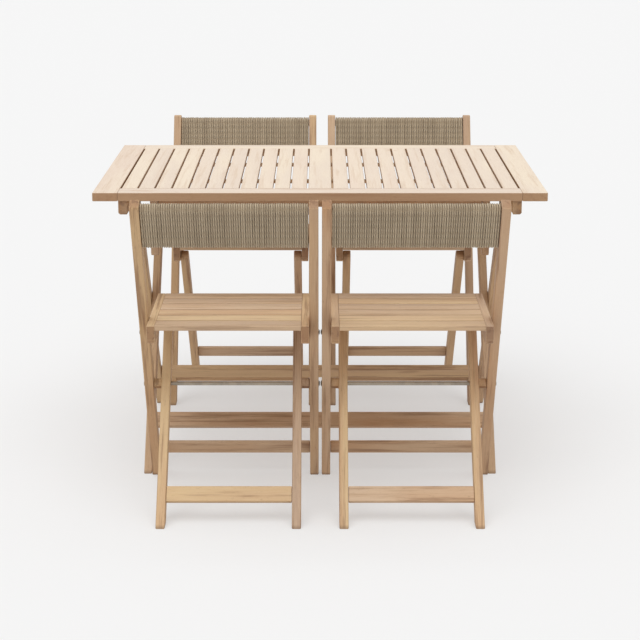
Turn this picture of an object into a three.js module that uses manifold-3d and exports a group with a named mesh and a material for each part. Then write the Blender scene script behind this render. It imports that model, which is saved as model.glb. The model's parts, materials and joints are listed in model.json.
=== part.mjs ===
// Patio dining set: a slatted folding table on two crossed leg frames, and four
// folding chairs with cord-wound backs. Millimetres, +Z up, the floor is z = 0,
// the origin is on the floor in the middle of the set.
// X runs along the table, the front pair of chairs stands at -Y.
import * as THREE from "three";
import { mergeVertices } from "three/addons/utils/BufferGeometryUtils.js";
import Module from "manifold-3d";

const wasm = await Module();
wasm.setup();

// ---------------------------------------------------------------- dimensions
const gap = 0.4; // clearance between neighbouring pieces

const table = {
  length: 1130,
  width: 764,
  height: 750,
  board: 22, // thickness of the top
  endBoard: 62.5,
  slatThick: 13,
  longRail: 62,
  slatGap: 4.5,
  slatsEachSide: 11,
  centreBoard: 58,
  tieWidth: 22, // ties across the underside of the slats
  tieHeight: 8,
  tieFrontY: -121,
  tieRearY: 141,
  tieReach: 436,
  battenHeight: 34,
  battenThick: 22,
  hingeY: 272, // height and reach of the leg hinges
  hingeZ: 708,
  footY: 314,
  legDepth: 39,
  innerX: [437.5, 458], // inner leg frame, across the end
  outerX: [458.5, 479], // outer leg frame
  battenX: 479.5,
  stretcherZ: 107,
  stretcherHigh: 40,
  stretcherThick: 18,
  underRailY: -248,
  stayLength: 142,
};

const chair = {
  halfWidth: 216, // outer face of a post
  post: 22,
  postDepth: 36,
  postFootY: 147,
  postTopZ: 790,
  rodZ: 285, // the posts and legs cross on this rod
  rodRadius: 5,
  legOuter: 174, // outer face of a leg
  leg: 22,
  legDepth: 34,
  legFootY: -243.5,
  legTopZ: 439,
  seatTop: 476,
  seatRear: -168,
  seatFront: 166,
  seatRailHigh: 47,
  slatThick: 12,
  slats: 6,
  slatGap: 6.5,
  seatPivotZ: 438,
  pinRadius: 3.5,
  boltRadius: 7.5,
  boltHead: 2.6,
  bossRadius: 12.5,
  backLow: 440, // the cord panel, measured up the post from the rod
  backHigh: 565,
  backRail: [20, 24], // thickness and height of a wound rail
  cordThick: 4.6,
  panelHalf: 192.6,
  postRail: { at: -237, high: 36, thick: 12, offset: 12 },
  legRail: { at: 298, high: 40, thick: 12, offset: 9 },
};

const tableY = 20.5; // the table stands a little nearer the rear pair
const chairY = 452.5; // the chairs' rods in front of and behind the middle
const chairX = { fl: -219.5, fr: 220.5, rl: -227, rr: 240 };

// ----------------------------------------------------------------- materials
const wood = (color) =>
  new THREE.MeshStandardMaterial({ color, roughness: 0.62, metalness: 0 });
const paleWood = wood("#d9c3a5");
const warmWood = wood("#bf9c78");
const cord = new THREE.MeshStandardMaterial({
  color: "#8d7d65",
  roughness: 0.85,
  metalness: 0,
});
const steel = new THREE.MeshStandardMaterial({
  color: "#8f8f86",
  roughness: 0.4,
  metalness: 1,
});

// ------------------------------------------------------------------- helpers
const toSide = new THREE.Matrix4().makeBasis(
  new THREE.Vector3(0, 1, 0),
  new THREE.Vector3(0, 0, 1),
  new THREE.Vector3(1, 0, 0),
);

// Points [y, z] of a side outline, drawn out along X from x0 to x1.
function sideSolid(points, x0, x1, holes = []) {
  const outline = points.map(([y, z]) => new THREE.Vector2(y, z));
  if (THREE.ShapeUtils.area(outline) < 0) outline.reverse();
  const shape = new THREE.Shape(outline);
  for (const hole of holes) {
    const ring = circlePoints(hole.y, hole.z, hole.r, 12).reverse();
    shape.holes.push(
      new THREE.Path(ring.map(([y, z]) => new THREE.Vector2(y, z))),
    );
  }
  const solid = new THREE.ExtrudeGeometry(shape, {
    depth: x1 - x0,
    bevelEnabled: false,
  });
  return solid.applyMatrix4(toSide).translate(x0, 0, 0);
}

function circlePoints(y, z, r, sides) {
  return Array.from({ length: sides }, (_, i) => {
    const a = (2 * Math.PI * (i + 0.5)) / sides;
    return [y + r * Math.cos(a), z + r * Math.sin(a)];
  });
}

function disc(y, z, r, x0, x1, sides = 12) {
  return sideSolid(circlePoints(y, z, r, sides), x0, x1);
}

function block(x0, x1, y0, y1, z0, z1) {
  return new THREE.BoxGeometry(x1 - x0, y1 - y0, z1 - z0).translate(
    (x0 + x1) / 2,
    (y0 + y1) / 2,
    (z0 + z1) / 2,
  );
}

function asSolid(geometry) {
  const bare = geometry.clone();
  bare.deleteAttribute("normal");
  bare.deleteAttribute("uv");
  const merged = mergeVertices(bare, 1e-3);
  return new wasm.Manifold(
    new wasm.Mesh({
      numProp: 3,
      vertProperties: merged.attributes.position.array,
      triVerts: new Uint32Array(merged.index.array),
    }),
  );
}

function asGeometry(solid) {
  const { vertProperties, triVerts } = solid.getMesh();
  const geometry = new THREE.BufferGeometry();
  geometry.setAttribute(
    "position",
    new THREE.BufferAttribute(vertProperties, 3),
  );
  geometry.setIndex(new THREE.BufferAttribute(triVerts, 1));
  geometry.computeVertexNormals();
  return geometry;
}

function join(pieces, cuts = []) {
  let solid = pieces.map(asSolid).reduce((a, b) => a.add(b));
  for (const cut of cuts) solid = solid.subtract(asSolid(cut));
  return asGeometry(solid);
}

function unit(y, z) {
  const length = Math.hypot(y, z);
  return [y / length, z / length];
}

// Outline of a leaning bar: cut level with the floor at its foot, and with
// either a round end about its top centre or softened corners.
function leaningOutline(foot, top, depth, end) {
  const [dy, dz] = unit(top[0] - foot[0], top[1] - foot[1]);
  const half = depth / 2;
  const side = (sign) => [sign * dz * half, -sign * dy * half];
  const onFloor = (sign) => {
    const [ny, nz] = side(sign);
    const along = -(foot[1] + nz) / dz;
    return [foot[0] + ny + dy * along, 0];
  };
  const at = (along, across) => [
    top[0] + dy * along + dz * across,
    top[1] + dz * along - dy * across,
  ];
  const crown = [];
  if (end === "round") {
    for (let i = 0; i <= 8; i++) {
      const a = (Math.PI * i) / 8;
      crown.push(at(half * Math.sin(a), half * Math.cos(a)));
    }
  } else {
    const c = 7;
    crown.push(at(-c, half), at(-c * 0.3, half - c * 0.3), at(0, half - c));
    crown.push(at(0, c - half), at(-c * 0.3, c * 0.3 - half), at(-c, -half));
  }
  return [onFloor(1), ...crown, onFloor(-1)];
}

// Outline of a rail's section: high along the bar it joins, thick across it.
function railOutline(centre, direction, high, thick) {
  const [dy, dz] = direction;
  const corner = (a, b) => [
    centre[0] + (dy * a * high + dz * b * thick) / 2,
    centre[1] + (dz * a * high - dy * b * thick) / 2,
  ];
  return [corner(-1, -1), corner(1, -1), corner(1, 1), corner(-1, 1)];
}

function mesh(name, geometry, material) {
  const made = new THREE.Mesh(geometry, material);
  made.name = name;
  return made;
}

// --------------------------------------------------------------------- table
// One plate, hollowed below to the slats' thickness, with the slots between the
// slats cut through it.
function slattedTop() {
  const { length, width, height, board, endBoard, longRail } = table;
  const inner = length / 2 - endBoard;
  const span = width / 2 - longRail;
  const firstSlot = (table.centreBoard + table.slatGap) / 2;
  const lastSlot = inner - table.slatGap / 2;
  const pitch = (lastSlot - firstSlot) / table.slatsEachSide;
  const half = table.slatGap / 2;
  const low = height - board;
  const ledge = 2;
  const hollow = block(
    ledge - inner,
    inner - ledge,
    ledge - span,
    span - ledge,
    low - 2,
    height - table.slatThick,
  );
  const slots = [hollow];
  for (const side of [-1, 1])
    for (let i = 0; i <= table.slatsEachSide; i++) {
      const x = side * (Math.round(4 * (firstSlot + i * pitch)) / 4);
      slots.push(block(x - half, x + half, -span, span, low - 2, height + 2));
    }
  const plate = block(
    -length / 2,
    length / 2,
    -width / 2,
    width / 2,
    low,
    height,
  );
  return join([plate], slots);
}

// Ties across the underside hold the slats level with one another.
function tie(y) {
  const high = table.height - table.slatThick - 0.3;
  const half = table.tieWidth / 2;
  const reach = table.tieReach;
  return block(-reach, reach, y - half, y + half, high - table.tieHeight, high);
}

// A batten under each end carries the outer leg's hinge bolt at the front and a
// block at the back that the inner leg's top bears against.
function batten(side) {
  const high = table.height - table.board - 0.3;
  const low = table.height - table.board - table.battenHeight;
  const x = [table.battenX, table.battenX + table.battenThick];
  const end = table.width / 2 - 5;
  const bevel = 4;
  const profile = [
    [x[0], low + 1],
    [x[0] + 1, low],
    [x[1] - bevel, low],
    [x[1], low + bevel],
    [x[1], high],
    [x[0], high],
  ];
  const shape = new THREE.Shape(
    profile.map(([a, b]) => new THREE.Vector2(side * a, b)),
  );
  const bar = new THREE.ExtrudeGeometry(shape, {
    depth: 2 * end,
    bevelEnabled: false,
  });
  bar.rotateX(Math.PI / 2).translate(0, end, 0);
  const inner = [side * table.innerX[0], side * (x[0] + 1)];
  inner.sort((a, b) => a - b);
  const back = table.hingeY + table.legDepth / 2 + 1;
  const stop = block(inner[0], inner[1], back, back + 26, 702, high);
  const bore = discBetween(-table.hingeY, table.hingeZ, 5, side * 470, side * 510);
  return join([bar, stop], [bore]);
}

// A disc whose ends may be given in either order.
function discBetween(y, z, r, a, b) {
  return disc(y, z, r, Math.min(a, b), Math.max(a, b));
}

const legDirection = unit(
  table.hingeY + table.footY,
  table.hingeZ,
);
const crossZ =
  table.hingeZ * (1 - table.hingeY / (table.hingeY + table.footY));

// lean = 1: top at the back and foot at the front, -1: the other way round.
function tableLeg(side, lean, xs, bores) {
  const outline = leaningOutline(
    [-lean * table.footY, 0],
    [lean * table.hingeY, table.hingeZ],
    table.legDepth,
    "round",
  );
  const x = xs.map((v) => side * v).sort((a, b) => a - b);
  return sideSolid(outline, x[0], x[1], bores);
}

// The inner leg carries the pin that the outer leg turns on.
function innerLeg(side) {
  const face = table.outerX[1] + gap;
  const shank = discBetween(
    0,
    crossZ,
    4,
    side * (table.innerX[0] + 3),
    side * (face + 1),
  );
  const head = discBetween(0, crossZ, 7.5, side * face, side * (face + 2.6));
  const nut = discBetween(
    0,
    crossZ,
    7,
    side * (table.innerX[0] - 2.6),
    side * (table.innerX[0] + 3),
  );
  return join([tableLeg(side, 1, table.innerX, []), shank, head, nut]);
}

function tableStretcher(lean, half) {
  const [dy, dz] = [lean * legDirection[0], legDirection[1]];
  const y = lean * (-table.footY + (table.stretcherZ * dy * lean) / dz);
  const offset = (table.legDepth - table.stretcherThick) / 2;
  // Set flush with the edge that faces away from the other frame as they close.
  const centre = [y - lean * dz * offset, table.stretcherZ + Math.abs(dy) * offset];
  const outline = railOutline(
    centre,
    [dy, dz],
    table.stretcherHigh,
    table.stretcherThick,
  );
  return sideSolid(outline, -half, half);
}

// Shank with a dome head outside and a nut inside.
function bolt(side, y, z, x0, x1) {
  const shank = discBetween(y, z, 4, side * x0, side * x1);
  const head = discBetween(y, z, 7.5, side * (x1 - 0.1), side * (x1 + 2.6));
  const nut = discBetween(y, z, 7, side * (x0 - 2.6), side * (x0 + 0.1));
  return join([shank, head, nut]);
}

function underRail() {
  const y = table.underRailY;
  const low = table.height - table.board - 38;
  const high = table.height - table.board - 0.3;
  const rail = block(-412, 412, y - 9, y + 9, low, high);
  const bores = [-1, 1].map((s) =>
    discBetween(y, 706, 4.6, s * 390, s * 420),
  );
  return join([rail], bores);
}

// A short latch that hangs from a pin in the end of the under rail.
function stay(side) {
  const y = table.underRailY;
  const z = 706;
  const low = z - table.stayLength;
  const outline = [
    [y + 15, low + 6],
    [y + 9, low],
    [y - 9, low],
    [y - 15, low + 6],
  ];
  for (let i = 0; i <= 6; i++) {
    const a = (Math.PI * i) / 6;
    outline.push([y - 15 * Math.cos(a), z + 15 * Math.sin(a)]);
  }
  const x = [414.5 * side, 433.5 * side].sort((a, b) => a - b);
  const pin = discBetween(y, z, 4, side * 393, side * 420);
  return join([sideSolid(outline, x[0], x[1]), pin]);
}

function makeTable() {
  const group = new THREE.Group();
  const hinge = { y: -table.hingeY, z: table.hingeZ, r: 4.6 };
  const cross = { y: 0, z: crossZ, r: 4.6 };
  const add = (name, geometry, material = warmWood) =>
    group.add(mesh("table_" + name, geometry, material));
  add("top", slattedTop(), paleWood);
  add("tie_front", tie(table.tieFrontY));
  add("tie_rear", tie(table.tieRearY));
  add("under_rail", underRail());
  for (const [label, side] of [
    ["left", -1],
    ["right", 1],
  ]) {
    add("batten_" + label, batten(side));
    add("stay_" + label, stay(side));
    add("outer_leg_" + label, tableLeg(side, -1, table.outerX, [hinge, cross]));
    add("inner_leg_" + label, innerLeg(side));
    add(
      "hinge_bolt_" + label,
      bolt(side, hinge.y, hinge.z, table.outerX[0] - 0.2, 502),
      steel,
    );
  }
  add("outer_stretcher", tableStretcher(-1, table.outerX[0] - gap));
  add("inner_stretcher", tableStretcher(1, table.innerX[0] - gap));
  group.position.y = tableY;
  return group;
}

// --------------------------------------------------------------------- chair
const postUp = unit(-chair.postFootY, chair.rodZ);
const legUp = unit(-chair.legFootY, chair.rodZ);

function onPost(along, forward = 0) {
  const [dy, dz] = postUp;
  return [dy * along + dz * forward, chair.rodZ + dz * along - dy * forward];
}

function seatPivot() {
  const up = (chair.seatPivotZ - chair.rodZ) / postUp[1];
  return onPost(up);
}

function post(side) {
  const outline = leaningOutline(
    [chair.postFootY, 0],
    onPost((chair.postTopZ - chair.rodZ) / postUp[1]),
    chair.postDepth,
    "soft",
  );
  const x = [chair.halfWidth - chair.post, chair.halfWidth].map((v) => side * v);
  x.sort((a, b) => a - b);
  const [y, z] = seatPivot();
  return sideSolid(outline, x[0], x[1], [
    { y: 0, z: chair.rodZ, r: chair.rodRadius + 0.6 },
    { y, z, r: chair.pinRadius + 0.6 },
  ]);
}

function leg(side) {
  const along = (chair.legTopZ - chair.rodZ) / legUp[1];
  const top = [legUp[0] * along, chair.legTopZ];
  const outline = leaningOutline(
    [chair.legFootY, 0],
    top,
    chair.legDepth,
    "round",
  );
  const x = [chair.legOuter - chair.leg, chair.legOuter].map((v) => side * v);
  x.sort((a, b) => a - b);
  const bar = sideSolid(outline, x[0], x[1]);
  const outer = side * (chair.halfWidth - chair.post - gap);
  const boss = discBetween(
    0,
    chair.rodZ,
    chair.bossRadius,
    side * (chair.legOuter - 2),
    outer,
  );
  const bore = discBetween(
    0,
    chair.rodZ,
    chair.rodRadius + 0.6,
    side * 140,
    side * 230,
  );
  return join([bar, boss], [bore]);
}

// Side rails with slats between them, and the two pivot pins in the rails.
function seat() {
  const { seatTop, seatRear, seatFront, seatRailHigh, slatThick } = chair;
  const low = seatTop - seatRailHigh;
  const inner = chair.legOuter + gap;
  const outer = chair.halfWidth - chair.post - gap;
  const outline = [
    [seatRear, seatTop],
    [seatRear, low + 14],
    [seatRear + 5, low + 4],
    [seatRear + 14, low],
    [seatFront - 14, low],
    [seatFront - 5, low + 4],
    [seatFront, low + 14],
    [seatFront, seatTop],
  ];
  const pieces = [];
  const [py, pz] = seatPivot();
  for (const side of [-1, 1]) {
    const x = [side * inner, side * outer].sort((a, b) => a - b);
    pieces.push(sideSolid(outline, x[0], x[1]));
    const face = chair.halfWidth + gap;
    const pin = side * (outer - 3);
    pieces.push(discBetween(py, pz, chair.pinRadius, pin, side * (face + 1)));
    pieces.push(
      discBetween(
        py,
        pz,
        chair.boltRadius,
        side * face,
        side * (face + chair.boltHead),
      ),
    );
  }
  const depth = seatFront - seatRear;
  const wide = (depth - (chair.slats - 1) * chair.slatGap) / chair.slats;
  for (let i = 0; i < chair.slats; i++) {
    const y = seatRear + i * (wide + chair.slatGap);
    const low = seatTop - slatThick;
    pieces.push(block(-inner - 1, inner + 1, y, y + wide, low, seatTop));
  }
  return join(pieces);
}

function pivotRod() {
  const end = chair.halfWidth + gap;
  const rod = disc(0, chair.rodZ, chair.rodRadius, -end, end);
  const nuts = [-1, 1].map((side) =>
    discBetween(
      0,
      chair.rodZ,
      8,
      side * (end - 0.1),
      side * (end + chair.boltHead),
    ),
  );
  return join([rod, ...nuts]);
}

function crossRail(centre, direction, high, thick, half) {
  return sideSolid(railOutline(centre, direction, high, thick), -half, half);
}

// The cord is wound closely round both back rails: one closed band.
function cordPanel() {
  const thick = chair.backRail[0] / 2 + gap + chair.cordThick;
  const band = (grow) => {
    const r = thick - grow;
    const points = [];
    for (const [end, turn] of [
      [chair.backHigh - thick, 0],
      [chair.backLow + thick, Math.PI],
    ])
      for (let i = 0; i <= 6; i++) {
        const a = turn + (Math.PI * i) / 6;
        points.push(onPost(end + r * Math.sin(a), r * Math.cos(a)));
      }
    return points;
  };
  const half = chair.panelHalf;
  return join(
    [sideSolid(band(0), -half, half)],
    [sideSolid(band(chair.cordThick), -half - 5, half + 5)],
  );
}

function backRail(along) {
  const [thick, high] = chair.backRail;
  const r = thick / 2;
  const half = chair.halfWidth - chair.post - gap;
  const points = [];
  for (const [end, turn] of [
    [along + high / 2 - r, 0],
    [along - high / 2 + r, Math.PI],
  ])
    for (let i = 0; i <= 4; i++) {
      const a = turn + (Math.PI * i) / 4;
      points.push(onPost(end + r * Math.sin(a), r * Math.cos(a)));
    }
  return sideSolid(points, -half, half);
}

function makeChair(label, turned) {
  const group = new THREE.Group();
  const add = (name, geometry, material = warmWood) =>
    group.add(mesh("chair_" + label + "_" + name, geometry, material));
  for (const [name, side] of [
    ["left", -1],
    ["right", 1],
  ]) {
    add("post_" + name, post(side));
    add("leg_" + name, leg(side));
  }
  const inset = chair.cordThick + gap + 1 + chair.backRail[1] / 2;
  add("back_rail_upper", backRail(chair.backHigh - inset));
  add("back_rail_lower", backRail(chair.backLow + inset));
  add("back_cord", cordPanel(), cord);
  const low = chair.postRail;
  add(
    "post_stretcher",
    crossRail(
      onPost(low.at, low.offset),
      postUp,
      low.high,
      low.thick,
      chair.halfWidth - chair.post - gap,
    ),
  );
  const bar = chair.legRail;
  const centre = [
    -legUp[0] * bar.at - legUp[1] * bar.offset,
    chair.rodZ - legUp[1] * bar.at + legUp[0] * bar.offset,
  ];
  const inside = chair.legOuter - chair.leg - gap;
  add("leg_stretcher", crossRail(centre, legUp, bar.high, bar.thick, inside));
  add("seat", seat(), paleWood);
  add("pivot_rod", pivotRod(), steel);
  group.position.set(chairX[label], turned ? chairY : -chairY, 0);
  group.rotation.z = turned ? Math.PI : 0;
  return group;
}

// ------------------------------------------------------------------ assembly
const diningSet = new THREE.Group();
diningSet.add(
  makeTable(),
  makeChair("fl", false),
  makeChair("fr", false),
  makeChair("rl", true),
  makeChair("rr", true),
);

export default diningSet;
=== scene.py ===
import json
import math
import random

import bmesh
import bpy
import numpy as np
from mathutils import Matrix, Vector

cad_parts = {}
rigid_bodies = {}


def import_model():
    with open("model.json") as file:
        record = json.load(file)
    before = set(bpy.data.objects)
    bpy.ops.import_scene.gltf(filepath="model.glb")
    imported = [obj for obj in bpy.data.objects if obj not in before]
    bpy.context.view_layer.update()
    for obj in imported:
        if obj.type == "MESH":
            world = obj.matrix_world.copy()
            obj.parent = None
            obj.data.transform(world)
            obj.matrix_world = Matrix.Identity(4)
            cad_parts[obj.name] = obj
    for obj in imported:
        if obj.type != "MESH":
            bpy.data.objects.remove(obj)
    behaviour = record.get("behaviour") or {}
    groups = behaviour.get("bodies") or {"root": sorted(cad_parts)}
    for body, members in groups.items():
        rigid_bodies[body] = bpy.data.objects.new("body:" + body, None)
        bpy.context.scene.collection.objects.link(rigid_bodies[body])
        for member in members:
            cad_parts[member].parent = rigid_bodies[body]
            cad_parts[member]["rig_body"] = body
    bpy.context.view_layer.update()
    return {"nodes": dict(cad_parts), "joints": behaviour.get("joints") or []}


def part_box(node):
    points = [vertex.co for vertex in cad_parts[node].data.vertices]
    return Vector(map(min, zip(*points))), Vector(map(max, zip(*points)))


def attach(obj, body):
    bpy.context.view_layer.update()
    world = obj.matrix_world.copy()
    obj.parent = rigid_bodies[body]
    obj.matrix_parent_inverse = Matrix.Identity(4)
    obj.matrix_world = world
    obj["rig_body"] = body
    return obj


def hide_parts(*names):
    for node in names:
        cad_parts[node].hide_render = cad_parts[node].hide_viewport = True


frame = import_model()
nodes = frame["nodes"]
print("frame loaded:", len(nodes), "nodes")


# shader sums
class Wire:
    # a shader value that can be used in sums
    def __init__(self, graph, socket):
        self.graph = graph
        self.socket = socket

    def sum(self, operation, first, second):
        return self.graph.node(
            "ShaderNodeMath", {"operation": operation}, {0: first, 1: second}
        )

    def __add__(self, other):
        return self.sum("ADD", self, other)

    def __sub__(self, other):
        return self.sum("SUBTRACT", self, other)

    def __rsub__(self, other):
        return self.sum("SUBTRACT", other, self)

    def __mul__(self, other):
        return self.sum("MULTIPLY", self, other)

    __radd__ = __add__
    __rmul__ = __mul__


class Graph:
    def __init__(self, name):
        self.material = bpy.data.materials.new(name)
        self.material.use_nodes = True
        self.tree = self.material.node_tree
        self.shader = self.tree.nodes["Principled BSDF"]

    def node(self, kind, settings=None, inputs=None, output=0):
        made = self.tree.nodes.new(kind)
        for name, value in (settings or {}).items():
            if name == "stops":
                self.setStops(made, value)
            else:
                setattr(made, name, value)
        for key, value in (inputs or {}).items():
            if isinstance(value, Wire):
                self.tree.links.new(value.socket, made.inputs[key])
            else:
                made.inputs[key].default_value = value
        return Wire(self, made.outputs[output])

    def setStops(self, ramp, stops):
        elements = ramp.color_ramp.elements
        while len(elements) < len(stops):
            elements.new(1)
        for element, (place, colour) in zip(elements, stops):
            element.position = place
            element.color = (*colour, 1)

    def ramp(self, value, stops):
        return self.node("ShaderNodeValToRGB", {"stops": stops}, {0: value})

    def between(self, value, low, high, to=(0, 1)):
        return self.node(
            "ShaderNodeMapRange",
            {"interpolation_type": "SMOOTHSTEP"},
            {0: value, 1: low, 2: high, 3: to[0], 4: to[1]},
        )

    def mix(self, factor, first, second, how="MIX"):
        return self.node(
            "ShaderNodeMix",
            {"data_type": "RGBA", "blend_type": how},
            {0: factor, 6: first, 7: second},
            2,
        )

    def attribute(self, name, output="Fac"):
        return self.node("ShaderNodeAttribute", {"attribute_name": name}, {}, output)

    def noise(self, place, size, detail=3, roughness=0.5, stretch=(1, 1, 1)):
        moved = self.node(
            "ShaderNodeVectorMath", {"operation": "MULTIPLY"}, {0: place, 1: stretch}
        )
        return self.node(
            "ShaderNodeTexNoise",
            {},
            {"Vector": moved, "Scale": size, "Detail": detail, "Roughness": roughness},
        )

    def feed(self, name, value):
        if isinstance(value, Wire):
            self.tree.links.new(value.socket, self.shader.inputs[name])
        else:
            self.shader.inputs[name].default_value = value

    def bump(self, height, distance, strength=1.0):
        self.feed(
            "Normal",
            self.node(
                "ShaderNodeBump", {}, {"Strength": strength, "Distance": distance, "Height": height}
            ),
        )


def tint(red, green, blue):
    # an ordinary 0-255 colour as the shader's linear one
    def straight(c):
        c = c / 255
        return c / 12.92 if c < 0.04045 else ((c + 0.055) / 1.055) ** 2.4

    return (straight(red), straight(green), straight(blue))


def opaque(colour):
    return (*colour, 1)


# finishes
def makeTimber(name, look):
    g = Graph(name)
    place = g.attribute("grain", "Vector")
    tone = g.attribute("tone")
    broad = g.noise(place, 1.0, 2, 0.5, (2.2, 16, 16))
    figure = g.noise(place, 1.0, 4, 0.6, (3.5, 75, 75))
    fibre = g.noise(place, 1.0, 3, 0.65, (14, 620, 620))
    pores = g.noise(place, 1.0, 2, 0.5, (70, 1500, 1500))
    body = g.ramp(tone * 0.62 + broad * 0.5 - 0.06, look["boards"])
    bands = g.between(figure, 0.50, 0.66)
    streaked = g.mix(bands * look["figure"], body, opaque(look["figureColour"]), "MIX")
    fibred = g.mix(
        g.between(fibre, 0.42, 0.7) * look["fibre"],
        streaked,
        opaque(look["fibreColour"]),
        "MIX",
    )
    holes = g.between(pores, 0.66, 0.74)
    pored = g.mix(holes * look["pores"], fibred, opaque(look["poreColour"]), "MIX")
    knots = g.noise(place, 1.0, 1, 0.4, (7, 26, 26))
    spots = g.between(knots, 0.76, 0.80)
    spotted = g.mix(spots * 0.45, pored, opaque(look["figureColour"]), "MIX")
    # faces that do not look up are multiplied darker and browner: partly painted shade on the
    # sides, partly browner unbleached wood
    litAndBleached = g.attribute("skyward")
    shadedAndBrowned = g.mix(
        (1 - litAndBleached) * look["shadeAndBrownSides"], spotted, opaque(look["sideShadeAndBrownColour"]), "MULTIPLY"
    )
    ends = g.attribute("endGrain")
    cut = g.mix(ends * look["endGrain"], shadedAndBrowned, opaque(look["endColour"]), "MULTIPLY")
    # darker towards the bottom: each piece is darkened in its lowest centimetre above the floor
    spot = g.node("ShaderNodeTexCoord", {}, {}, "Object")
    height = g.node("ShaderNodeSeparateXYZ", {}, {0: spot}, "Z")
    feet = 1 - g.between(height, 0.001, 0.010)
    footDarkened = g.mix(feet * 0.6, cut, opaque(look["poreColour"]))
    ridge = g.node("ShaderNodeNewGeometry", {}, {}, "Pointiness")
    worn = g.between(ridge, 0.52, 0.60)
    g.feed("Base Color", g.mix(worn * look["wear"], footDarkened, opaque(look["wearColour"])))
    g.feed("Roughness", 0.50 + fibre * 0.22 + holes * 0.1)
    g.feed("Specular IOR Level", look["shine"])
    g.bump(fibre * 0.6 + figure * 0.25 - holes * 0.9, look["relief"], 0.8)
    return g.material


paleLook = {
    "boards": [
        (0.06, tint(226, 210, 194)),
        (0.26, tint(232, 214, 194)),
        (0.44, tint(224, 206, 190)),
        (0.60, tint(236, 220, 198)),
        (0.78, tint(228, 208, 190)),
        (0.94, tint(218, 196, 176)),
    ],
    "figure": 0.40,
    "figureColour": tint(200, 168, 138),
    "fibre": 0.30,
    "fibreColour": tint(246, 236, 220),
    "pores": 0.5,
    "poreColour": tint(160, 126, 98),
    "wear": 0.25,
    "wearColour": tint(240, 224, 204),
    "relief": 0.00025,
    "shine": 0.25,
    # side faces: strength and colour of the painted shade together with the browner unbleached wood
    "shadeAndBrownSides": 1.0,
    "sideShadeAndBrownColour": tint(190, 160, 129),
    "endGrain": 0.2,
    "endColour": tint(196, 170, 148),
}
warmLook = {
    "boards": [
        (0.05, tint(158, 132, 116)),
        (0.22, tint(190, 160, 134)),
        (0.38, tint(204, 170, 132)),
        (0.52, tint(214, 184, 140)),
        (0.66, tint(196, 154, 116)),
        (0.80, tint(206, 178, 150)),
        (0.95, tint(168, 134, 110)),
    ],
    "figure": 0.75,
    "figureColour": tint(142, 102, 72),
    "fibre": 0.34,
    "fibreColour": tint(228, 204, 168),
    "pores": 0.6,
    "poreColour": tint(104, 74, 52),
    "wear": 0.30,
    "wearColour": tint(222, 198, 168),
    "relief": 0.00028,
    "shine": 0.30,
    # side faces: strength and colour of the painted shade together with the browner unbleached wood
    "shadeAndBrownSides": 0.55,
    "sideShadeAndBrownColour": tint(214, 196, 178),
    "endGrain": 0.8,
    "endColour": tint(186, 160, 140),
}


def makeCord(name, light, middle, dark):
    # twisted yarn: "around" goes round a strand, "along" runs up it in metres
    look = {"twist": 60.0, "light": light, "middle": middle, "dark": dark}
    g = Graph(name)
    around = g.attribute("around")
    along = g.attribute("along")
    tone = g.attribute("tone")
    place = g.node("ShaderNodeTexCoord", {}, {}, "Object")
    lay = g.node(
        "ShaderNodeMath",
        {"operation": "SINE"},
        {0: (around * 2 + along * look["twist"]) * (2 * math.pi)},
    )
    yarn = lay * 0.5 + 0.5
    fuzz = g.noise(place, 900, 3, 0.7)
    patches = g.noise(place, 14, 2)
    shade = yarn * 0.28 + tone * 0.16 + fuzz * 0.28 + patches * 0.24 + 0.04
    g.feed(
        "Base Color",
        g.ramp(
            shade,
            [(0.15, look["dark"]), (0.5, look["middle"]), (0.85, look["light"])],
        ),
    )
    g.feed("Roughness", 0.72 + fuzz * 0.2)
    g.feed("Specular IOR Level", 0.25)
    g.feed("Sheen Weight", 0.18)
    g.feed("Sheen Roughness", 0.5)
    g.bump(yarn + fuzz * 0.35, 0.0006, 0.9)
    return g.material


def makeSteel(name, colour, rough):
    g = Graph(name)
    place = g.node("ShaderNodeTexCoord", {}, {}, "Object")
    cloud = g.noise(place, 60, 4, 0.6)
    lines = g.noise(place, 1.0, 2, 0.6, (90, 2600, 2600))
    ridge = g.node("ShaderNodeNewGeometry", {}, {}, "Pointiness")
    dulled = g.mix(g.between(cloud, 0.35, 0.7), opaque(colour), opaque([c * 0.62 for c in colour]))
    bright = g.mix(g.between(ridge, 0.53, 0.62) * 0.6, dulled, opaque(tint(214, 210, 200)))
    g.feed("Base Color", bright)
    g.feed("Metallic", 1.0)
    g.feed("Roughness", rough + cloud * 0.18 + lines * 0.08)
    g.bump(lines * 0.5 + cloud * 0.4, 0.00006, 0.6)
    return g.material


paleTimber = makeTimber("bleached acacia boards", paleLook)
warmTimber = makeTimber("oiled acacia", warmLook)
backCord = makeCord(
    "taupe wound cord", tint(206, 188, 160), tint(176, 157, 130), tint(130, 112, 90)
)
# painted shade: darkened cord colours for the dark sheet inside each winding
cordShadeSheet = makeCord(
    "shaded cord", tint(84, 70, 54), tint(70, 58, 44), tint(56, 46, 36)
)
zincSteel = makeSteel("dull zinc rod", tint(158, 141, 118), 0.34)
boltSteel = makeSteel("bolt steel", tint(150, 144, 132), 0.30)
print("finishes made")


# timber pieces
dice = random.Random(4127)
timber = {
    "easing": 0.0022,
    "jointedEasing": 0.0007,  # for bars with a block or bevel on them
    "shortestEdge": 0.0034,
    "sharp": math.radians(35),
}


def newPiece(name, mesh, material, body):
    piece = bpy.data.objects.new(name, mesh)
    bpy.context.scene.collection.objects.link(piece)
    mesh.materials.clear()
    mesh.materials.append(material)
    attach(piece, body)
    return piece


def plainMesh(piece, name):
    # the object as its modifiers leave it, as a mesh with nothing live on it
    depsgraph = bpy.context.evaluated_depsgraph_get()
    mesh = bpy.data.meshes.new_from_object(
        piece.evaluated_get(depsgraph), preserve_all_data_layers=True, depsgraph=depsgraph
    )
    mesh.name = name
    return mesh


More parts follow.
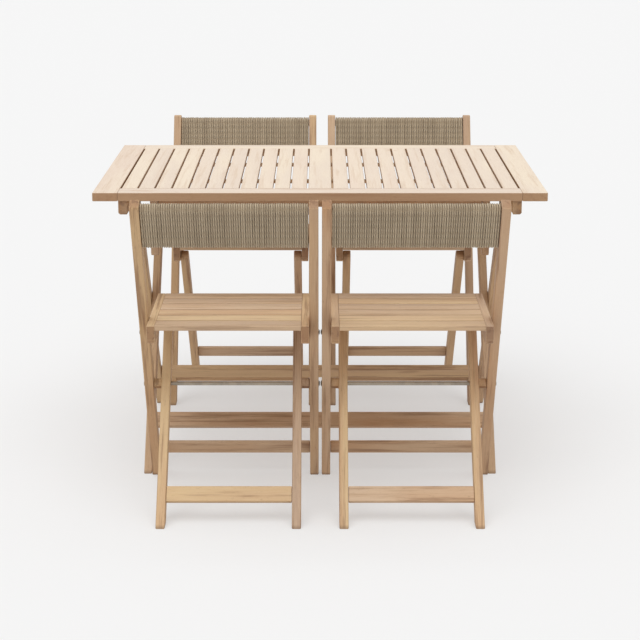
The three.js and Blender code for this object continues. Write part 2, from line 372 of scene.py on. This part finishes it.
def writeGrain(mesh, axis=None):
    # grain runs along the longest way; every board starts at its own place in the pattern
    count = len(mesh.vertices)
    points = np.zeros(count * 3)
    mesh.vertices.foreach_get("co", points)
    points = points.reshape(-1, 3)
    middle = points.mean(0)
    if axis is None:
        spread = np.cov((points - middle).T)
        axes = np.linalg.eigh(spread)[1][:, ::-1]
        for column in range(3):
            if axes[np.argmax(abs(axes[:, column])), column] < 0:
                axes[:, column] *= -1
    else:
        axes = np.eye(3)[:, axis]
    grain = (points - middle) @ axes
    grain += [dice.uniform(0, 40), dice.uniform(0, 40), dice.uniform(0, 40)]
    store = mesh.attributes.new("grain", "FLOAT_VECTOR", "POINT")
    store.data.foreach_set("vector", grain.ravel())
    store = mesh.attributes.new("tone", "FLOAT", "POINT")
    store.data.foreach_set("value", np.full(count, dice.random()))
    facing = faceNormals(mesh)
    cut = np.clip((abs(facing @ axes[:, 0]) - 0.75) / 0.2, 0, 1)
    store = mesh.attributes.new("endGrain", "FLOAT", "FACE")
    store.data.foreach_set("value", cut)
    markSkyward(mesh)


def faceNormals(mesh):
    facing = np.zeros(len(mesh.polygons) * 3)
    mesh.polygons.foreach_get("normal", facing)
    return facing.reshape(-1, 3)


def markSkyward(mesh):
    # faces that look up are marked; the timber finish makes the others darker and browner, partly
    # as painted shade on the sides and partly as browner wood that the sun has not bleached
    up = np.clip((faceNormals(mesh)[:, 2] - 0.35) / 0.4, 0, 1)
    store = mesh.attributes.new("skyward", "FLOAT", "FACE")
    store.data.foreach_set("value", up)


def easeEdges(bm, easing):
    bm.normal_update()
    edges = [
        e
        for e in bm.edges
        if len(e.link_faces) == 2
        and e.calc_face_angle(0) > timber["sharp"]
        and e.calc_length() > timber["shortestEdge"]
    ]
    bmesh.ops.bevel(
        bm,
        geom=edges,
        offset=easing,
        offset_type="OFFSET",
        segments=3,
        profile=0.5,
        affect="EDGES",
        clamp_overlap=False,
    )


def finishTimber(name, bm, material, body, axis=None, easing=None):
    easeEdges(bm, timber["easing"] if easing is None else easing)
    mesh = bpy.data.meshes.new(name)
    bm.to_mesh(mesh)
    bm.free()
    mesh.polygons.foreach_set("use_smooth", [True] * len(mesh.polygons))
    writeGrain(mesh, axis)
    piece = newPiece(name, mesh, material, body)
    modifier = piece.modifiers.new("flat faces stay flat", "WEIGHTED_NORMAL")
    modifier.weight = 100
    modifier.keep_sharp = True
    better = plainMesh(piece, name)
    piece.modifiers.clear()
    piece.data = better
    return piece


def timberFromNode(nodeName):
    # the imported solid, cleaned and with its edges eased
    node = nodes[nodeName]
    bm = bmesh.new()
    bm.from_mesh(node.data)
    bmesh.ops.remove_doubles(bm, verts=bm.verts, dist=1e-6)
    bmesh.ops.dissolve_limit(bm, angle_limit=0.01, verts=bm.verts, edges=bm.edges)
    easing = timber["jointedEasing"] if "batten" in nodeName else None
    piece = finishTimber(
        nodeName + "_timber", bm, warmTimber, node["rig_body"], easing=easing
    )
    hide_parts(nodeName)
    return piece


def boxInto(bm, low, high):
    centre = [(a + b) / 2 for a, b in zip(low, high)]
    size = [b - a for a, b in zip(low, high)]
    bmesh.ops.create_cube(
        bm, size=1, matrix=Matrix.Translation(centre) @ Matrix.Diagonal((*size, 1))
    )


def joinPieces(name, pieces, replaced):
    # several made pieces of one finish on one body become one mesh
    bpy.ops.object.select_all(action="DESELECT")
    for piece in pieces:
        piece.select_set(True)
    bpy.context.view_layer.objects.active = pieces[0]
    bpy.ops.object.join()
    joined = pieces[0]
    joined.name = name
    joined.data.name = name
    for nodeName in replaced:
        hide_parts(nodeName)


# rows of slats, made with geometry nodes
class Tree:
    def __init__(self, name, inputs):
        self.tree = bpy.data.node_groups.new(name, "GeometryNodeTree")
        self.ids = {}
        for label, kind in inputs:
            item = self.tree.interface.new_socket(label, in_out="INPUT", socket_type=kind)
            self.ids[label] = item.identifier
        self.tree.interface.new_socket(
            "Geometry", in_out="OUTPUT", socket_type="NodeSocketGeometry"
        )
        self.source = self.tree.nodes.new("NodeGroupInput")
        self.end = self.tree.nodes.new("NodeGroupOutput")

    def given(self, label):
        return self.source.outputs[label]

    def node(self, kind, settings=None, inputs=None):
        made = self.tree.nodes.new(kind)
        for name, value in (settings or {}).items():
            setattr(made, name, value)
        for key, value in (inputs or {}).items():
            if isinstance(value, bpy.types.NodeSocket):
                self.tree.links.new(value, made.inputs[key])
            else:
                made.inputs[key].default_value = value
        return made

    def maths(self, operation, first, second=0.0):
        made = self.node("ShaderNodeMath", {"operation": operation}, {0: first, 1: second})
        return made.outputs[0]

    def store(self, geometry, name, kind, value, domain="POINT"):
        made = self.node(
            "GeometryNodeStoreNamedAttribute",
            {"data_type": kind, "domain": domain},
            {"Geometry": geometry, "Name": name, "Value": value},
        )
        return made.outputs["Geometry"]

    def finish(self, geometry):
        solid = self.node("GeometryNodeRealizeInstances", {}, {"Geometry": geometry})
        return solid.outputs["Geometry"]

    def close(self, geometry):
        dressed = self.node(
            "GeometryNodeSetMaterial",
            {},
            {"Geometry": geometry, "Material": self.given("Finish")},
        )
        self.tree.links.new(dressed.outputs["Geometry"], self.end.inputs["Geometry"])


def runTree(tree, name, values):
    # evaluates the tree on an empty mesh and hands back the plain result
    holder = bpy.data.objects.new(name, bpy.data.meshes.new(name))
    bpy.context.scene.collection.objects.link(holder)
    modifier = holder.modifiers.new(name, "NODES")
    modifier.node_group = tree.tree
    for label, value in values.items():
        modifier[tree.ids[label]] = value
    mesh = plainMesh(holder, name)
    holder.modifiers.clear()
    bpy.data.objects.remove(holder)
    return mesh


def slatTree():
    t = Tree(
        "row of slats",
        [
            ("Count", "NodeSocketInt"),
            ("First Place", "NodeSocketVector"),
            ("Step", "NodeSocketVector"),
            ("Turn", "NodeSocketFloat"),
            ("Length", "NodeSocketFloat"),
            ("Width", "NodeSocketFloat"),
            ("Thickness", "NodeSocketFloat"),
            ("Easing", "NodeSocketFloat"),
            ("Seed", "NodeSocketInt"),
            ("Finish", "NodeSocketMaterial"),
        ],
    )
    section = t.node(
        "GeometryNodeCurvePrimitiveQuadrilateral",
        {"mode": "RECTANGLE"},
        {"Width": t.given("Width"), "Height": t.given("Thickness")},
    )
    eased = t.node(
        "GeometryNodeFilletCurve",
        {"mode": "POLY"},
        {
            "Curve": section.outputs[0],
            "Radius": t.given("Easing"),
            "Count": 3,
            "Limit Radius": True,
        },
    )
    half = t.maths("MULTIPLY", t.given("Length"), 0.5)
    start = t.node("ShaderNodeCombineXYZ", {}, {"X": t.maths("MULTIPLY", half, -1.0)})
    finish = t.node("ShaderNodeCombineXYZ", {}, {"X": half})
    line = t.node(
        "GeometryNodeCurvePrimitiveLine",
        {"mode": "POINTS"},
        {"Start": start.outputs[0], "End": finish.outputs[0]},
    )
    board = t.node(
        "GeometryNodeCurveToMesh",
        {},
        {"Curve": line.outputs[0], "Profile Curve": eased.outputs[0], "Fill Caps": True},
    )
    here = t.node("GeometryNodeInputPosition")
    marked = t.store(board.outputs[0], "grain", "FLOAT_VECTOR", here.outputs[0])
    places = t.node(
        "GeometryNodeMeshLine",
        {"mode": "OFFSET"},
        {
            "Count": t.given("Count"),
            "Start Location": t.given("First Place"),
            "Offset": t.given("Step"),
        },
    )
    turn = t.node("ShaderNodeCombineXYZ", {}, {"Z": t.given("Turn")})
    row = t.node(
        "GeometryNodeInstanceOnPoints",
        {},
        {"Points": places.outputs[0], "Instance": marked, "Rotation": turn.outputs[0]},
    )
    toneOf = t.node(
        "FunctionNodeRandomValue", {"data_type": "FLOAT"}, {"Seed": t.given("Seed")}
    )
    shiftOf = t.node(
        "FunctionNodeRandomValue",
        {"data_type": "FLOAT_VECTOR"},
        {"Max": (40.0, 40.0, 40.0), "Seed": t.maths("ADD", t.given("Seed"), 7)},
    )
    toned = t.store(row.outputs[0], "tone", "FLOAT", toneOf.outputs["Value"], "INSTANCE")
    shifted = t.store(toned, "shift", "FLOAT_VECTOR", shiftOf.outputs["Value"], "INSTANCE")
    solid = t.finish(shifted)
    vector = {"data_type": "FLOAT_VECTOR"}
    grain = t.node("GeometryNodeInputNamedAttribute", vector, {"Name": "grain"})
    shift = t.node("GeometryNodeInputNamedAttribute", vector, {"Name": "shift"})
    moved = t.node(
        "ShaderNodeVectorMath",
        {"operation": "ADD"},
        {0: grain.outputs[0], 1: shift.outputs[0]},
    )
    t.close(t.store(solid, "grain", "FLOAT_VECTOR", moved.outputs[0]))
    return t


slatRow = slatTree()


def slatsPiece(name, body, values):
    mesh = runTree(slatRow, name, values)
    mesh.polygons.foreach_set("use_smooth", [True] * len(mesh.polygons))
    mesh.set_sharp_from_angle(angle=math.radians(40))
    markSkyward(mesh)
    piece = newPiece(name, mesh, values["Finish"], body)
    return piece


# table
table = {
    "slatThickness": 0.013,
    "endBoard": 0.0625,
    "longRail": 0.062,
    "slats": 11,
    "centreBoard": 0.058,
    "gap": 0.0045,
    "easing": 0.0022,
    "seam": 0.00015,
}
topLow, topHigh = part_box("table_top")


def makeTableTop():
    body = "table_top_frame"
    x, y0, y1 = topHigh.x, topLow.y, topHigh.y
    z0, z1 = topLow.z, topHigh.z
    inner = x - table["endBoard"]
    seam = table["seam"]
    pieces = []
    for side in (-1, 1):
        ends = sorted((side * (inner + seam), side * x))
        bm = bmesh.new()
        boxInto(bm, (ends[0], y0, z0), (ends[1], y1, z1))
        pieces.append(
            finishTimber("table_end_board", bm, paleTimber, body, [1, 0, 2])
        )
        edge = y0 if side < 0 else y1
        rail = sorted((edge, edge - side * table["longRail"]))
        bm = bmesh.new()
        boxInto(bm, (-inner, rail[0], z0), (inner, rail[1], z1))
        pieces.append(
            finishTimber("table_long_rail", bm, paleTimber, body, [0, 1, 2])
        )
    firstSlot = (table["centreBoard"] + table["gap"]) / 2
    pitch = (inner - table["gap"] / 2 - firstSlot) / table["slats"]
    length = (y1 - y0) - 2 * table["longRail"] - 2 * seam
    middle = (y0 + y1) / 2
    common = {
        "Turn": math.pi / 2,
        "Length": length,
        "Thickness": table["slatThickness"],
        "Easing": table["easing"],
        "Finish": paleTimber,
    }
    rows = [
        (1, 0.0, table["centreBoard"], 11),
        (table["slats"], firstSlot + pitch / 2, pitch - table["gap"], 23),
        (table["slats"], -(firstSlot + pitch / 2), pitch - table["gap"], 37),
    ]
    for count, x0, width, seed in rows:
        step = pitch if x0 >= 0 else -pitch
        values = dict(
            common,
            **{
                "Count": count,
                "First Place": (x0, middle, z1 - table["slatThickness"] / 2),
                "Step": (step, 0.0, 0.0),
                "Width": width,
                "Seed": seed,
            },
        )
        pieces.append(slatsPiece("table_slats", body, values))
    joinPieces("table_top_boards", pieces, ["table_top"])


makeTableTop()
for nodeName in sorted(nodes):
    if nodeName.startswith("table_") and any(
        part in nodeName
        for part in ("tie", "under_rail", "batten", "leg", "stretcher", "stay")
    ):
        timberFromNode(nodeName)
print("table timber made")


# fasteners
fastener = {
    "sides": 24,
    "easing": 0.0006,
    "boltShank": 0.004,
    "nutRadius": 0.0072,
    "headRadius": 0.0075,
    "headHeight": 0.0026,
}


def turned(bm, profile, centre, facing, sides):
    # a solid of revolution about X; profile is (radius, distance along X) from axis to axis
    rings = []
    for radius, along in profile:
        ring = []
        if radius < 1e-6:
            ring.append(bm.verts.new(centre + Vector((along * facing, 0, 0))))
        else:
            for i in range(sides):
                a = 2 * math.pi * i / sides
                ring.append(
                    bm.verts.new(
                        centre
                        + Vector((along * facing, radius * math.cos(a), radius * math.sin(a)))
                    )
                )
        rings.append(ring)
    for a, b in zip(rings, rings[1:]):
        for i in range(sides):
            j = (i + 1) % sides
            if len(a) == 1:
                corners = (a[0], b[i], b[j])
            elif len(b) == 1:
                corners = (a[i], b[0], a[j])
            else:
                corners = (a[i], b[i], b[j], a[j])
            bm.faces.new(corners)


def domeProfile(radius, height, shank=0.0):
    # a washer with a domed head that has a small socket in its top
    return [
        (0.0, -shank),
        (radius * 0.62, -shank),
        (radius, 0.0),
        (radius, height * 0.22),
        (radius * 0.80, height * 0.30),
        (radius * 0.76, height * 0.62),
        (radius * 0.55, height * 0.92),
        (radius * 0.34, height),
        (radius * 0.26, height * 0.62),
        (0.0, height * 0.60),
    ]


def metalPiece(name, bm, material, body, replaced):
    bmesh.ops.recalc_face_normals(bm, faces=bm.faces)
    mesh = bpy.data.meshes.new(name)
    bm.to_mesh(mesh)
    bm.free()
    mesh.polygons.foreach_set("use_smooth", [True] * len(mesh.polygons))
    mesh.set_sharp_from_angle(angle=math.radians(38))
    piece = newPiece(name, mesh, material, body)
    for nodeName in replaced:
        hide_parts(nodeName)
    return piece


def capAt(bm, x, facing, y, z, radius, height):
    turned(bm, domeProfile(radius, height), Vector((x, y, z)), facing, fastener["sides"])


def rodBetween(bm, x0, x1, y, z, radius):
    ease = fastener["easing"]
    span = x1 - x0
    profile = [
        (0.0, 0.0),
        (radius - ease, 0.0),
        (radius, ease),
        (radius, span - ease),
        (radius - ease, span),
        (0.0, span),
    ]
    turned(bm, profile, Vector((x0, y, z)), 1, fastener["sides"])


def tableBolts():
    for label in ("left", "right"):
        low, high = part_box("table_hinge_bolt_" + label)
        y, z = (low.y + high.y) / 2, (low.z + high.z) / 2
        x0, x1 = low.x + 0.002, high.x - 0.002
        bm = bmesh.new()
        ease = fastener["easing"]
        headHeight = fastener["headHeight"]
        rodBetween(bm, x0, x1, y, z, fastener["boltShank"])
        capAt(bm, x0 + ease, -1, y, z, fastener["nutRadius"], headHeight)
        capAt(bm, x1 - ease, 1, y, z, fastener["headRadius"], headHeight)
        metalPiece(
            "table_hinge_bolt_" + label + "_steel",
            bm,
            boltSteel,
            "table_top_frame",
            ["table_hinge_bolt_" + label],
        )


tableBolts()


# chairs
chair = {
    "slats": 6,
    "slatGap": 0.0065,
    "slatThickness": 0.012,
    "railWidth": 0.0192,
    "seatRailHigh": 0.047,
    "pinRadius": 0.0035,
    "headRadius": 0.0075,
    "headHeight": 0.0026,
    "strands": 72,
    "panelWidth": 0.3852,
    "strandRadius": 0.0024,
    "shadeSheetThick": 0.012,
    "rodRadius": 0.005,
    "rodNutRadius": 0.008,
    "railHigh": 0.024,
    "railDeep": 0.0208,
    "cordThick": 0.0046,
    "cordSlack": 0.0016,
    "shadeSheetClear": 0.0125,
    "shadeSheetInset": 0.004,
    "seatHalf": 0.1936,
    "railCorner": 0.014,
    "pinInside": 0.19,
    "postFace": 0.2164,
}


def strandTree():
    # one winding is a closed loop round both back rails; the row of them fills the back
    t = Tree(
        "wound cord",
        [
            ("Count", "NodeSocketInt"),
            ("First Place", "NodeSocketVector"),
            ("Step", "NodeSocketVector"),
            ("Lean", "NodeSocketFloat"),
            ("Turn", "NodeSocketFloat"),
            ("Height", "NodeSocketFloat"),
            ("Depth", "NodeSocketFloat"),
            ("Strand", "NodeSocketFloat"),
            ("Seed", "NodeSocketInt"),
            ("Finish", "NodeSocketMaterial"),
        ],
    )
    loop = t.node(
        "GeometryNodeCurvePrimitiveQuadrilateral",
        {"mode": "RECTANGLE"},
        {"Width": t.given("Height"), "Height": t.given("Depth")},
    )
    round_ = t.node(
        "GeometryNodeFilletCurve",
        {"mode": "POLY"},
        {
            "Curve": loop.outputs[0],
            "Radius": t.maths("MULTIPLY", t.given("Depth"), 0.499),
            "Count": 6,
            "Limit Radius": True,
        },
    )
    even = t.node(
        "GeometryNodeResampleCurve",
        {"mode": "COUNT"},
        {"Curve": round_.outputs[0], "Count": 54},
    )
    travel = t.node("GeometryNodeSplineParameter")
    marked = t.store(even.outputs[0], "along", "FLOAT", travel.outputs["Length"])
    ring = t.node(
        "GeometryNodeCurvePrimitiveCircle",
        {"mode": "RADIUS"},
        {"Resolution": 8, "Radius": t.given("Strand")},
    )
    angle = t.node("GeometryNodeSplineParameter")
    ringed = t.store(ring.outputs[0], "around", "FLOAT", angle.outputs["Factor"])
    strand = t.node(
        "GeometryNodeCurveToMesh", {}, {"Curve": marked, "Profile Curve": ringed}
    )
    places = t.node(
        "GeometryNodeMeshLine",
        {"mode": "OFFSET"},
        {
            "Count": t.given("Count"),
            "Start Location": t.given("First Place"),
            "Offset": t.given("Step"),
        },
    )
    # stand the loop up: its long way goes up the back, its short way goes through it
    stood = t.node(
        "GeometryNodeTransform",
        {},
        {"Geometry": strand.outputs[0], "Rotation": (0.0, math.pi / 2, 0.0)},
    )
    leaned = t.node("ShaderNodeCombineXYZ", {}, {"X": t.given("Lean"), "Z": t.given("Turn")})
    jitter = t.node(
        "FunctionNodeRandomValue",
        {"data_type": "FLOAT_VECTOR"},
        {
            "Min": (-0.00022, -0.00025, -0.0004),
            "Max": (0.00022, 0.00025, 0.0004),
            "Seed": t.maths("ADD", t.given("Seed"), 3),
        },
    )
    nudged = t.node(
        "GeometryNodeSetPosition",
        {},
        {"Geometry": places.outputs[0], "Offset": jitter.outputs["Value"]},
    )
    row = t.node(
        "GeometryNodeInstanceOnPoints",
        {},
        {
            "Points": nudged.outputs[0],
            "Instance": stood.outputs[0],
            "Rotation": leaned.outputs[0],
        },
    )
    toneOf = t.node(
        "FunctionNodeRandomValue", {"data_type": "FLOAT"}, {"Seed": t.given("Seed")}
    )
    toned = t.store(row.outputs[0], "tone", "FLOAT", toneOf.outputs["Value"], "INSTANCE")
    solid = t.finish(toned)
    smooth = t.node("GeometryNodeSetShadeSmooth", {}, {"Geometry": solid})
    t.close(smooth.outputs["Geometry"])
    return t


woundCord = strandTree()


def makeBack(label):
    prefix = "chair_" + label + "_"
    body = prefix + "back_frame"
    low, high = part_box(prefix + "back_cord")
    upLow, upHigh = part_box(prefix + "back_rail_upper")
    downLow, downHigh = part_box(prefix + "back_rail_lower")
    top = (upLow + upHigh) / 2
    bottom = (downLow + downHigh) / 2
    axis = Vector((0, top.y - bottom.y, top.z - bottom.z))
    wound = 2 * chair["cordThick"]
    strand = 2 * chair["strandRadius"]
    depth = chair["railDeep"] + wound - strand
    height = axis.length + chair["railHigh"] + wound - strand + chair["cordSlack"]
    lean = math.atan2(-axis.y, axis.z)
    count = chair["strands"]
    width = high.x - low.x
    pitch = (width - 2 * chair["strandRadius"]) / (count - 1)
    middle = (top + bottom) / 2
    values = {
        "Count": count,
        "First Place": (low.x + chair["strandRadius"], middle.y, middle.z),
        "Step": (pitch, 0.0, 0.0),
        "Lean": lean,
        "Turn": 0.0,
        "Height": height,
        "Depth": depth,
        "Strand": chair["strandRadius"],
        "Seed": sum(ord(c) for c in label),
        "Finish": backCord,
    }
    mesh = runTree(woundCord, prefix + "wound_back", values)
    piece = newPiece(prefix + "wound_back", mesh, backCord, body)
    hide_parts(prefix + "back_cord")
    makeShadeSheet(prefix, body, (low + high) / 2, middle, axis)


def makeShadeSheet(prefix, body, across, middle, axis):
    # a dark sheet of painted shade, standing in for the shade inside the winding, behind the
    # strands
    width = chair["panelWidth"] - chair["shadeSheetInset"]
    clear = chair["shadeSheetClear"]
    bm = bmesh.new()
    boxInto(
        bm,
        (-width / 2, -chair["shadeSheetThick"] / 2, -axis.length / 2 + clear),
        (width / 2, chair["shadeSheetThick"] / 2, axis.length / 2 - clear),
    )
    turn = Matrix.Rotation(math.atan2(-axis.y, axis.z), 4, "X")
    bmesh.ops.transform(
        bm,
        matrix=Matrix.Translation((across.x, middle.y, middle.z)) @ turn,
        verts=bm.verts,
    )
    mesh = bpy.data.meshes.new(prefix + "cord_lining")
    bm.to_mesh(mesh)
    bm.free()
    newPiece(prefix + "cord_lining", mesh, cordShadeSheet, body)


def makeSeat(label):
    prefix = "chair_" + label + "_"
    body = prefix + "seat_frame"
    low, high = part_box(prefix + "seat")
    middle = (low.x + high.x) / 2
    outer = chair["seatHalf"]
    inner = outer - chair["railWidth"]
    zHigh, zLow = high.z, high.z - chair["seatRailHigh"]
    y0, y1 = low.y, high.y
    pieces = []
    corner = chair["railCorner"]
    for side in (-1, 1):
        bm = bmesh.new()
        outline = [
            (y0, zHigh),
            (y0, zLow + corner),
            (y0 + 0.005, zLow + 0.004),
            (y0 + corner, zLow),
            (y1 - corner, zLow),
            (y1 - 0.005, zLow + 0.004),
            (y1, zLow + corner),
            (y1, zHigh),
        ]
        xs = sorted((middle + side * inner, middle + side * outer))
        ringA = [bm.verts.new((xs[0], y, z)) for y, z in outline]
        ringB = [bm.verts.new((xs[1], y, z)) for y, z in outline]
        bm.faces.new(ringA)
        bm.faces.new(list(reversed(ringB)))
        for i in range(len(outline)):
            j = (i + 1) % len(outline)
            bm.faces.new((ringA[j], ringA[i], ringB[i], ringB[j]))
        bmesh.ops.recalc_face_normals(bm, faces=bm.faces)
        pieces.append(
            finishTimber("seat_rail", bm, warmTimber, body, [1, 0, 2])
        )
    wide = ((y1 - y0) - (chair["slats"] - 1) * chair["slatGap"]) / chair["slats"]
    values = {
        "Count": chair["slats"],
        "First Place": (middle, y0 + wide / 2, zHigh - chair["slatThickness"] / 2),
        "Step": (0.0, wide + chair["slatGap"], 0.0),
        "Turn": 0.0,
        "Length": 2 * inner - 0.0006,
        "Width": wide,
        "Thickness": chair["slatThickness"],
        "Easing": 0.002,
        "Seed": sum(ord(c) for c in label) + 40,
        "Finish": warmTimber,
    }
    pieces.append(slatsPiece("seat_slats", body, values))
    joinPieces(prefix + "seat_boards", pieces, [prefix + "seat"])
    # pivot pins through the posts, with domed heads outside
    bm = bmesh.new()
    pivot = seatPivots[label]
    for side in (-1, 1):
        face = chair["postFace"]
        xs = sorted((middle + side * chair["pinInside"], middle + side * (face + 0.001)))
        rodBetween(bm, xs[0], xs[1], pivot[0], pivot[1], chair["pinRadius"])
        capAt(
            bm,
            middle + side * face,
            side,
            pivot[0],
            pivot[1],
            chair["headRadius"],
            chair["headHeight"],
        )
    metalPiece(prefix + "seat_pins", bm, boltSteel, body, [])


def makeRod(label):
    prefix = "chair_" + label + "_"
    low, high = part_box(prefix + "pivot_rod")
    y, z = (low.y + high.y) / 2, (low.z + high.z) / 2
    bm = bmesh.new()
    head = chair["headHeight"]
    rodBetween(bm, low.x + head, high.x - head, y, z, chair["rodRadius"])
    capAt(bm, low.x + head, -1, y, z, chair["rodNutRadius"], head)
    capAt(bm, high.x - head, 1, y, z, chair["rodNutRadius"], head)
    metalPiece(prefix + "rod_steel", bm, zincSteel, prefix + "back_frame", [prefix + "pivot_rod"])


seatPivots = {}
for joint in frame["joints"]:
    if joint["name"].endswith("_seat_tip"):
        seatPivots[joint["name"][6:8]] = (joint["pos_m"][1], joint["pos_m"][2])

for label in ("fl", "fr", "rl", "rr"):
    for part in (
        "post_left",
        "post_right",
        "leg_left",
        "leg_right",
        "back_rail_upper",
        "back_rail_lower",
        "post_stretcher",
        "leg_stretcher",
    ):
        timberFromNode("chair_" + label + "_" + part)
    makeBack(label)
    makeSeat(label)
    makeRod(label)
    print("chair made:", label)


# studio
studio = {
    "floorHalf": 600.0,
    "floorColour": tint(178, 178, 178),
    "floorGlow": 0.42,
    "cameraHeight": 1.555,
    "cameraBack": 4.7645,
    "pitch": 14.40,
    "lens": 101.4,
    "skyStrength": 0.57,
    "lights": [
        ("overhead softbox", (0.05, 0.25, -1.0), 70, 1.7),
        ("front left softbox", (0.6, 0.9, -0.6), 60, 0.2),
    ],
}


def makeStudio():
    mesh = bpy.data.meshes.new("floor")
    half = studio["floorHalf"]
    mesh.from_pydata(
        [(-half, -half, 0), (half, -half, 0), (half, half, 0), (-half, half, 0)],
        [],
        [(0, 1, 2, 3)],
    )
    floor = bpy.data.objects.new("floor", mesh)
    bpy.context.scene.collection.objects.link(floor)
    g = Graph("pale floor")
    g.feed("Base Color", opaque(studio["floorColour"]))
    g.feed("Roughness", 0.9)
    g.feed("Specular IOR Level", 0.1)
    g.feed("Emission Color", opaque((1, 1, 1)))
    g.feed("Emission Strength", studio["floorGlow"])
    mesh.materials.append(g.material)
    world = bpy.data.worlds.new("pale room")
    world.use_nodes = True
    world.node_tree.nodes["Background"].inputs[0].default_value = opaque((1, 1, 1))
    world.node_tree.nodes["Background"].inputs[1].default_value = studio["skyStrength"]
    bpy.context.scene.world = world
    for name, direction, spread, power in studio["lights"]:
        light = bpy.data.lights.new(name, "SUN")
        light.angle = math.radians(spread)
        light.energy = power
        lamp = bpy.data.objects.new(name, light)
        lamp.location = (0, 0, 3)
        lamp.rotation_euler = Vector(direction).to_track_quat("-Z", "Y").to_euler()
        bpy.context.scene.collection.objects.link(lamp)
    lens = bpy.data.cameras.new("camera")
    lens.lens = studio["lens"]
    lens.sensor_width = 36
    camera = bpy.data.objects.new("camera", lens)
    camera.location = (0.0, -studio["cameraBack"], studio["cameraHeight"])
    camera.rotation_euler = (math.radians(90 - studio["pitch"]), 0, 0)
    bpy.context.scene.collection.objects.link(camera)
    bpy.context.scene.camera = camera
    bpy.context.scene.view_settings.view_transform = "Standard"


makeStudio()
print("studio made")
